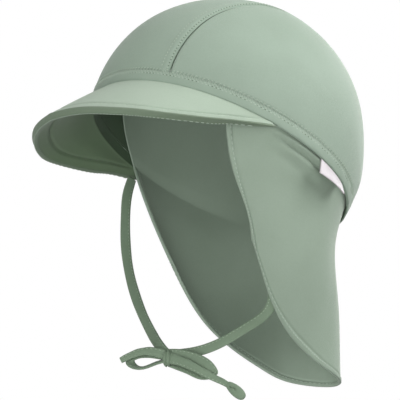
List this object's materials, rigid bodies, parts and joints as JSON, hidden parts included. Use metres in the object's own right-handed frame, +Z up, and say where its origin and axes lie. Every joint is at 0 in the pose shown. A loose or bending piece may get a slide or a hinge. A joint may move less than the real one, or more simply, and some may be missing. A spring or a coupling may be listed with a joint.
{
  "type": "legionnaire cap",
  "caption": "Toddler's sun cap in sage swim knit with a rounded crown, padded peak, long neck flap and chin ties in a bow.",
  "frame": {"origin": "centre of the head opening, on the crown's vertical axis, where the cap sits on a head", "axes": "+Z up through the crown, -Y towards the forehead and the peak, +X to the wearer's left"},
  "size_m": [0.1476, 0.2016, 0.2434],
  "materials": {
    "shell_cloth": "matt",
    "tie_cloth": "matt",
    "label_cloth": "satin"
  },
  "bodies": {
    "root": {"crown_centre_panel": "shell_cloth", "crown_side_panel_left": "shell_cloth", "crown_side_panel_right": "shell_cloth", "crown_hem_band": "shell_cloth", "peak": "shell_cloth", "neck_flap": "shell_cloth", "label_tag": "label_cloth", "tie_strap_left": "tie_cloth", "tie_strap_right": "tie_cloth", "bow_knot": "tie_cloth", "bow_loop_front": "tie_cloth", "bow_loop_rear": "tie_cloth", "bow_tail_short": "tie_cloth", "bow_tail_long": "tie_cloth", "tail_end_knot": "tie_cloth"}
  },
  "joints": []
}
